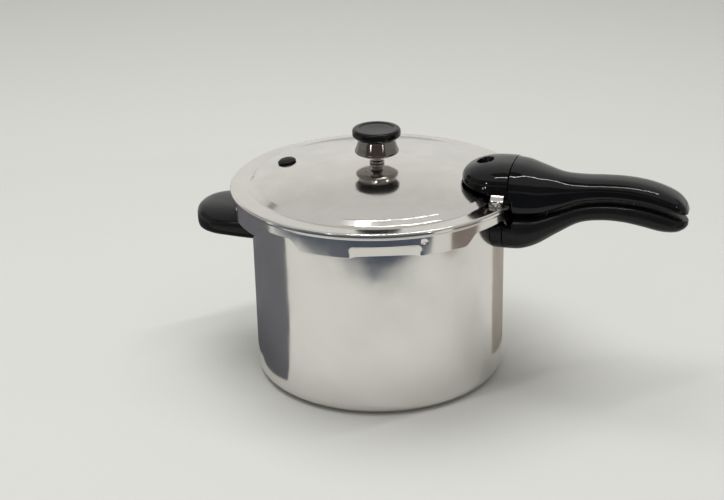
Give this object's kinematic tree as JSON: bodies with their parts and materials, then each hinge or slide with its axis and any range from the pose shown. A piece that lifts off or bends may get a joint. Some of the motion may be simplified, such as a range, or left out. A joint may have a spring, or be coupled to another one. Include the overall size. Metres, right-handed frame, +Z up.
{
  "type": "stovetop pressure cooker",
  "caption": "Round aluminium pressure pot with a bayonet cover, weighted regulator, vent lock, overpressure plug, long paired handles, a helper handle and a perforated rack.",
  "frame": {"origin": "centre of the pot's base, on the surface that it stands on", "axes": "+Z up along the pot's axis, +X out along the long handles while the cover is locked"},
  "size_m": [0.425, 0.25, 0.2153],
  "materials": {
    "polished_aluminium": "mirror polished, with fine scratches and a faint haze",
    "satin_aluminium": "satin, bluish grey, bead-like pressed sheet",
    "gloss_black_phenolic": "glossy moulded phenolic",
    "satin_black_phenolic": "satin moulded phenolic",
    "chrome_weight": "dark mirror chrome",
    "fitting_steel": "bright turned steel",
    "black_rubber": "moulded rubber",
    "grey_rubber": "moulded rubber, slightly dull"
  },
  "bodies": {
    "pot": {"pot_body": "polished_aluminium", "pot_handle_rivet_1": "fitting_steel", "pot_handle_rivet_2": "fitting_steel", "helper_rivet_1": "fitting_steel", "helper_rivet_2": "fitting_steel", "pot_handle_bracket": "fitting_steel", "pot_handle_spacer": "gloss_black_phenolic", "pot_handle": "satin_black_phenolic", "pot_handle_screw": "fitting_steel", "helper_handle": "satin_black_phenolic", "helper_bracket": "fitting_steel", "helper_screw_1": "fitting_steel", "helper_screw_2": "fitting_steel"},
    "ring": {"sealing_ring": "grey_rubber"},
    "cover": {"cover": "polished_aluminium", "cover_strap": "fitting_steel", "cover_strap_rivet_1": "fitting_steel", "cover_strap_rivet_2": "fitting_steel", "cover_handle_hood": "gloss_black_phenolic", "cover_handle": "gloss_black_phenolic", "cover_handle_screw": "fitting_steel", "hood_screw": "fitting_steel", "vent_pipe": "fitting_steel", "vent_pipe_washer": "black_rubber", "vent_pipe_nut": "fitting_steel", "overpressure_plug": "black_rubber", "vent_lock_bush": "fitting_steel"},
    "vent_lock": {"vent_lock_pin": "fitting_steel", "vent_lock_gasket": "black_rubber", "vent_lock_cup": "fitting_steel"},
    "regulator": {"regulator_weight": "chrome_weight", "regulator_needle": "fitting_steel", "regulator_cap": "gloss_black_phenolic"},
    "rack": {"cooking_rack": "satin_aluminium"}
  },
  "joints": [
    {"name": "cover_lift", "type": "slide", "parent": "pot", "child": "ring", "axis": [0, 0, 1], "range_m": [0, 0.15]},
    {"name": "cover_turn", "type": "hinge", "parent": "ring", "child": "cover", "pos_m": [0, 0, 0.16], "axis": [0, 0, 1], "range_deg": [0, 45]},
    {"name": "vent_lock_rise", "type": "slide", "parent": "cover", "child": "vent_lock", "axis": [0, 0, 1], "range_m": [0, 0.005]},
    {"name": "regulator_lift", "type": "slide", "parent": "cover", "child": "regulator", "axis": [0, 0, 1], "range_m": [0, 0.03]},
    {"name": "rack_lift", "type": "slide", "parent": "pot", "child": "rack", "axis": [0, 0, 1], "range_m": [0, 0.148]}
  ]
}
